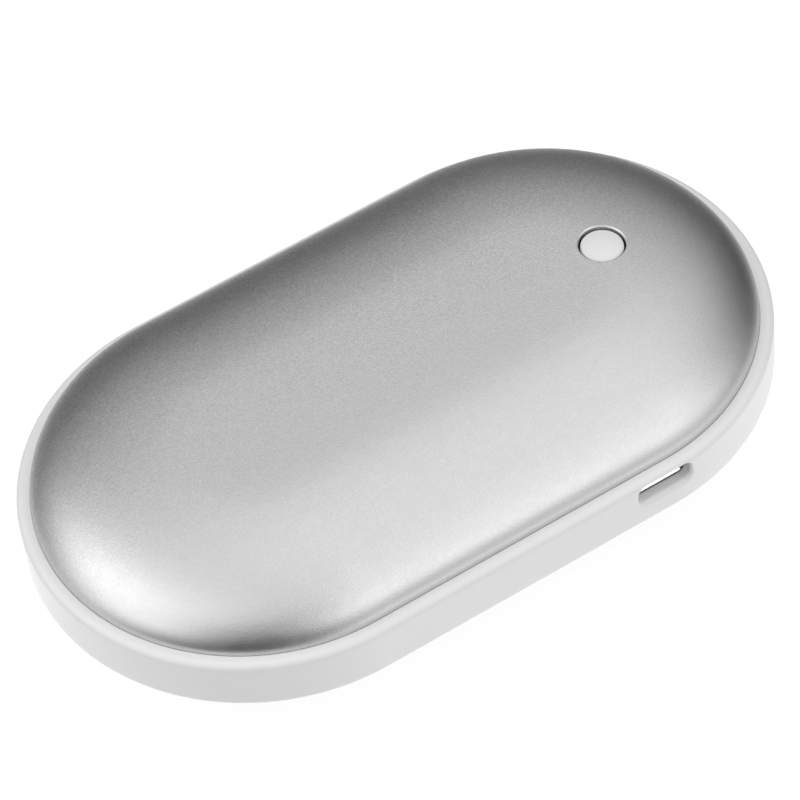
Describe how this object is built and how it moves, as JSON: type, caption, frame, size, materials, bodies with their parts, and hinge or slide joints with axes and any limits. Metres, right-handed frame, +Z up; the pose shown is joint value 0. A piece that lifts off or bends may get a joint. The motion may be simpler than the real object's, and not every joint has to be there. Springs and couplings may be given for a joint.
{
  "type": "rechargeable hand warmer",
  "caption": "Rechargeable pebble-shaped hand warmer: domed satin aluminium heating shells on a white plastic band, with a round push button and a charging socket in the side.",
  "frame": {"origin": "centre of the footprint, on the surface the warmer lies on", "axes": "+X along the length towards the button end, -Y to the side with the charging socket, +Z up through the button"},
  "size_m": [0.1, 0.0586, 0.0228],
  "materials": {
    "shell_aluminium": "bead-blasted and clear anodised, satin",
    "band_plastic": "moulded, satin white",
    "button_plastic": "moulded, smooth white",
    "frame_plastic": "moulded, dark grey",
    "screw_steel": "zinc plated",
    "adhesive_tape": "double-sided tape",
    "heater_film": "amber polyimide film",
    "foam": "closed-cell foam",
    "lead_red": "silicone insulation",
    "lead_black": "silicone insulation",
    "black_plastic": "moulded, black",
    "tinned_metal": "tinned",
    "cell_foil": "laminated foil pouch",
    "battery_tape": "amber tape",
    "board_green": "solder mask",
    "connector_ivory": "moulded, ivory",
    "socket_steel": "nickel plated",
    "contact_gold": "gold plated",
    "led_lens": "clear resin",
    "ferrite": "ferrite",
    "ceramic": "ceramic"
  },
  "bodies": {
    "casing": {"top_shell": "shell_aluminium", "bottom_shell": "shell_aluminium", "mid_band": "band_plastic", "upper_frame": "frame_plastic", "lower_frame": "frame_plastic", "upper_frame_screws": "screw_steel", "lower_frame_screws": "screw_steel", "shell_tape_top": "adhesive_tape", "shell_tape_bottom": "adhesive_tape", "heater_film_top": "heater_film", "heater_film_bottom": "heater_film", "foam_pad_top": "foam", "foam_pad_bottom": "foam", "heater_leads_top": "lead_red", "heater_leads_bottom": "lead_red", "thermistor": "black_plastic", "thermistor_leads": "tinned_metal", "battery_cell_lower": "cell_foil", "battery_cell_upper": "cell_foil", "battery_tape": "battery_tape", "battery_tabs": "tinned_metal", "battery_protection_board": "board_green", "battery_lead_positive": "lead_red", "battery_lead_negative": "lead_black", "battery_plug": "connector_ivory", "battery_header": "connector_ivory", "circuit_board": "board_green", "board_screws": "screw_steel", "usb_socket_shell": "socket_steel", "usb_socket_tongue": "black_plastic", "usb_socket_contacts": "contact_gold", "switch_body": "black_plastic", "switch_cover": "socket_steel", "switch_terminals": "tinned_metal", "switch_dome": "socket_steel", "status_leds": "led_lens", "controller_chip": "black_plastic", "charger_chip": "black_plastic", "power_inductor": "ferrite", "capacitors": "ceramic", "heater_transistors": "black_plastic"},
    "button": {"button_cap": "button_plastic"},
    "switch_plunger": {"switch_plunger": "connector_ivory"}
  },
  "joints": [
    {"name": "button_press", "type": "slide", "parent": "casing", "child": "button", "axis": [0, 0, -1], "range_m": [0, 0.0005], "stiffness_N_per_m": 2000},
    {"name": "switch_press", "type": "slide", "parent": "casing", "child": "switch_plunger", "axis": [0, 0, -1], "range_m": [0, 0.0005]}
  ],
  "couplings": [
    {"joint": "switch_press", "follows": "button_press", "ratio": 1}
  ]
}
